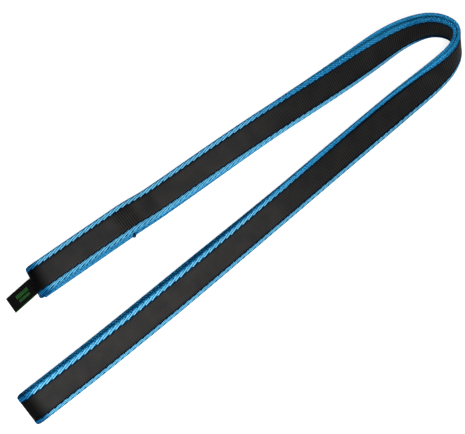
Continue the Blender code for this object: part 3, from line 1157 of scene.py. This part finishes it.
@dataclass
class Label:
    """The woven label: its ground from splice to free end, its green edge and its woven marks."""

    route: Route
    width: float = 0.009275
    flap_length: float = 0.0135
    root_depth: float = 0.0110
    turn: float = math.radians(5.0)
    floor_clearance: float = 0.0004
    bend_length: float = 0.0016
    samples: int = 400
    along: int = 76
    across: int = 22
    rim: Knots = ((1.0, 0.0), (0.985, 0.7), (0.95, 1.0))
    end_steps: float = 1.2
    end_start: float = 0.35
    thread_pitch: float = 0.0005
    thread_low: float = 0.4
    blend_reach: float = 0.0005
    yarn_ends: Span = (0.0007, 0.0002)
    yarn_sides: Span = (-0.00006, 0.00030)
    yarn_rises: Span = (-0.00002, 0.00006)
    yarn_steps: tuple[int, int] = (60, 2)
    mark_rises: Span = (-0.00002, 0.00007)
    mark_steps: tuple[int, int] = (6, 3)
    mark_rows: tuple[MarkRow, ...] = (
        MarkRow((0.0001, 0.0021), (0.0012, 0.0090), 9, 0.60),
        MarkRow((-0.0022, -0.0006), (0.0016, 0.0086), 11, 0.55),
    )
    satin: LabelSatin = LabelSatin(
        "label_satin", ((0.1, (0.0008, 0.0008, 0.0008)), (0.9, (0.0026, 0.0024, 0.0023))), 5200.0
    )
    edge_green: LabelSatin = LabelSatin("green_edge", ((0.1, (0.006, 0.030, 0.006)), (0.9, (0.016, 0.100, 0.014))))
    mark_green: LabelSatin = LabelSatin("green_marks", ((0.1, (0.006, 0.034, 0.008)), (0.9, (0.018, 0.090, 0.018))))

    def __post_init__(self) -> None:
        """Works out where the label lies."""
        tape = self.route.tape
        frames = self.route.frames(np.array([0.0]))
        middle, self.forward, self.width_way, self.inward, spacing, _ = (value[0] for value in frames)
        self.seat = middle - self.inward * (spacing[0] + (tape.thickness + tape.label_room) / 2)
        nose = float(self.route.spacing[0]) + tape.half_tape
        self.crease = nose + 2 * tape.layer_gap + tape.label_thickness
        axis_y = -self.crease * math.tan(self.turn)
        self.axis = self.seat - self.forward * self.crease + self.width_way * axis_y
        low_corner = -self.flap_length * math.tan(self.turn) - self.width / (2 * math.cos(self.turn))
        underside = self.axis[2] + low_corner * self.width_way[2] - tape.label_thickness / 2 * self.inward[2]
        drop = underside - self.floor_clearance
        self.pitch = math.asin(drop / (self.flap_length * self.inward[2]))
        reach = np.linspace(-self.root_depth, self.crease + self.flap_length, self.samples)
        angle = self.pitch * ease((reach - self.crease) / self.bend_length + 0.5)
        step = np.diff(reach, prepend=reach[0])
        out = -self.root_depth + np.cumsum(np.cos(angle) * step)
        down = np.cumsum(np.sin(angle) * step)
        self.line = (reach, out, down, angle)

    def point(self, reach: Array, side: Array, rise: Array) -> Array:
        """Points on the label.

        Args:
            reach: Distances beyond the fold's centre, along the label.
            side: Distances across it from its own middle, towards the raised edge.
            rise: Distances above its middle plane.

        Returns:
            The points.
        """
        known, *columns = self.line
        out, down, tilt = (np.interp(reach, known, column) for column in columns)
        across = side / math.cos(self.turn) - reach * math.tan(self.turn)
        return (
            self.seat
            - self.forward * (out + np.sin(tilt) * rise)[:, None]
            + self.width_way * across[:, None]
            + self.inward * (np.cos(tilt) * rise - down)[:, None]
        )

    def build(self) -> list[Piece]:
        """Builds the ground, the edge yarn and the woven marks."""
        return [self.build_ground(), self.build_edge_yarn(), self.build_marks()]

    def flat_box(
        self, mesh: bmesh.types.BMesh, reaches: Span, sides: Span, rises: Span, steps: tuple[int, int]
    ) -> None:
        """Adds a thin box that lies along the label, with rounded long edges.

        Args:
            mesh: Gets the box.
            reaches: Where it starts and ends, beyond the fold's centre.
            sides: Where its long edges lie, from the label's middle line.
            rises: Where its faces lie, from the label's middle plane.
            steps: Steps along it and across it.
        """
        level, tall = (rises[1] + rises[0]) / 2, (rises[1] - rises[0]) / 2
        middle, half = (sides[0] + sides[1]) / 2, (sides[1] - sides[0]) / 2
        flat = self.rim[-1][0]
        top = [(-side, rise) for side, rise in self.rim]
        top += [(side, 1.0) for side in np.linspace(-flat, flat, steps[1] + 1)[1:-1]]
        top += self.rim[::-1]
        table = np.array(top + [(-side, -rise) for side, rise in top[1:]])
        around = len(table) - 1

        def surface(share: Array, index: Array) -> Skin:
            reach = reaches[0] + share * (reaches[1] - reaches[0])
            side = middle + table[index, 0] * half
            past_end = np.minimum(share, 1 - share) * steps[0]
            rise = level + table[index, 1] * tall * ease(past_end / self.end_steps + self.end_start)
            thread = 0.5 + 0.5 * np.sin(2 * math.pi * reach / self.thread_pitch)
            tone = self.thread_low + (1 - self.thread_low) * thread
            return self.point(reach, side, rise), {"tone": tone}

        wrapped_grid(mesh, steps[0], around, surface)

    def build_ground(self) -> Piece:
        """The label's black ground, one piece from the splice to the free end."""
        half, side = self.route.tape.label_thickness / 2, self.width / 2
        reaches = (-self.root_depth, self.crease + self.flap_length)
        mesh = bmesh.new()
        self.flat_box(mesh, reaches, (-side, side), (-half, half), (self.along, self.across))
        ground = object_from(mesh, "label_ground")
        ground.data.materials.append(self.satin.material())
        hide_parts("label_root", "label_flap")
        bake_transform(ground)
        LOG.info("%s: blended across the crease", ground.name)
        return ground

    def build_edge_yarn(self) -> Piece:
        """The green yarn down the edge nearer the floor."""
        half, side = self.route.tape.label_thickness / 2, self.width / 2
        reaches = (self.crease + self.yarn_ends[0], self.crease + self.flap_length - self.yarn_ends[1])
        sides = (-side + self.yarn_sides[0], -side + self.yarn_sides[1])
        mesh = bmesh.new()
        self.flat_box(mesh, reaches, sides, (-half + self.yarn_rises[0], half + self.yarn_rises[1]), self.yarn_steps)
        yarn = object_from(mesh, "label_edge_yarn")
        return dressed(yarn, self.edge_green.material(), "label")

    def build_marks(self) -> Piece:
        """Two rows of plain woven bars."""
        mesh = bmesh.new()
        top = self.route.tape.label_thickness / 2
        rises = (top + self.mark_rises[0], top + self.mark_rises[1])
        for row in self.mark_rows:
            pitch = (row.ends[1] - row.ends[0]) / row.count
            for number in range(row.count):
                start = self.crease + row.ends[0] + number * pitch
                self.flat_box(mesh, (start, start + pitch * row.fill), row.sides, rises, self.mark_steps)
        marks = object_from(mesh, "label_marks")
        return dressed(marks, self.mark_green.material(), "label")


@dataclass(frozen=True)
class SoftLight:
    """A square area light: its power in watts and the length of its side in metres."""

    name: str
    place: Triple
    target: Triple
    power: float
    size: float


@dataclass(frozen=True)
class Studio:
    """The pale floor, the soft lights and the camera."""

    aim: Triple = (-0.01211, -0.00985, 0.0)
    azimuth: float = math.radians(-40.0)
    elevation: float = math.radians(68.0)
    distance: float = 0.5676
    lens: float = 80.864
    sensor: float = 36.0
    clip: Span = (0.01, 20.0)
    floor_size: float = 6.0
    floor_drop: float = 0.00025
    floor_grey: float = 0.50
    floor_roughness: float = 0.9
    floor_specular: float = 0.1
    floor_glow: float = 0.72
    sky: Triple = (0.90, 0.95, 1.0)
    sky_strength: float = 0.10
    lights: tuple[SoftLight, ...] = (
        SoftLight("overhead", (-0.12, 0.0, 1.0), (-0.08, 0.0, 0.0), 7.0, 1.10),
        SoftLight("front", (-0.38, -0.42, 0.48), (-0.12, 0.0, 0.0), 8.0, 0.50),
    )

    def build(self) -> None:
        """Builds everything that isn't part of the sling."""
        self.build_floor()
        self.build_lights()
        self.build_camera()

    def build_floor(self) -> None:
        """A wide pale floor, just under what rests on it."""
        mesh = bmesh.new()
        bmesh.ops.create_grid(mesh, x_segments=2, y_segments=2, size=self.floor_size / 2)
        bmesh.ops.translate(mesh, verts=mesh.verts, vec=(0, 0, -self.floor_drop))
        floor = object_from(mesh, "floor")
        tree = Shading("pale_floor")
        grey = (self.floor_grey, self.floor_grey, self.floor_grey, 1.0)
        tree.set(Base_Color=grey, Roughness=self.floor_roughness, Specular_IOR_Level=self.floor_specular)
        tree.set(Emission_Color=(1.0, 1.0, 1.0, 1.0), Emission_Strength=self.floor_glow)
        floor.data.materials.append(tree.material)

    def build_lights(self) -> None:
        """A large soft light overhead, one in front, and dim even surroundings."""
        world = bpy.data.worlds.new("studio")
        world.use_nodes = True
        background = world.node_tree.nodes["Background"]
        background.inputs["Color"].default_value = (*self.sky, 1.0)
        background.inputs["Strength"].default_value = self.sky_strength
        bpy.context.scene.world = world
        for soft in self.lights:
            light = bpy.data.lights.new(soft.name, "AREA")
            light.energy = soft.power
            light.size = soft.size
            self.aimed(placed(soft.name, light), Vector(soft.place), Vector(soft.target) - Vector(soft.place))

    def build_camera(self) -> None:
        """The camera at the photograph's viewing angle."""
        level = math.cos(self.elevation)
        back = Vector((math.sin(self.azimuth) * level, -math.cos(self.azimuth) * level, math.sin(self.elevation)))
        lens = bpy.data.cameras.new("camera")
        lens.lens = self.lens
        lens.sensor_width = self.sensor
        lens.clip_start, lens.clip_end = self.clip
        camera = placed("camera", lens)
        self.aimed(camera, Vector(self.aim) + back * self.distance, -back)
        bpy.context.scene.camera = camera

    def aimed(self, obj: Piece, place: Vector, direction: Vector) -> None:
        """Puts a light or camera in its place and turns it to look along a direction."""
        obj.location = place
        obj.rotation_euler = direction.to_track_quat("-Z", "Y").to_euler()


def main() -> None:
    """Builds the sling's pieces in order, then the studio round them."""
    logging.basicConfig(level=logging.INFO, format="%(name)s: %(message)s")
    bpy.context.scene.view_settings.view_transform = "Standard"
    route = Route(TapeSizes())
    path = TapePath(route)
    LOG.info("tape length %.1f mm", path.length * 1000)
    core, *bands = Webbing(path, Weave()).build()
    ends = MeltedEnds(path).build()
    route.tape.width
    BarTacks(route).build()
    Label(route).build()
    Studio().build()


if __name__ == "__main__":
    main()
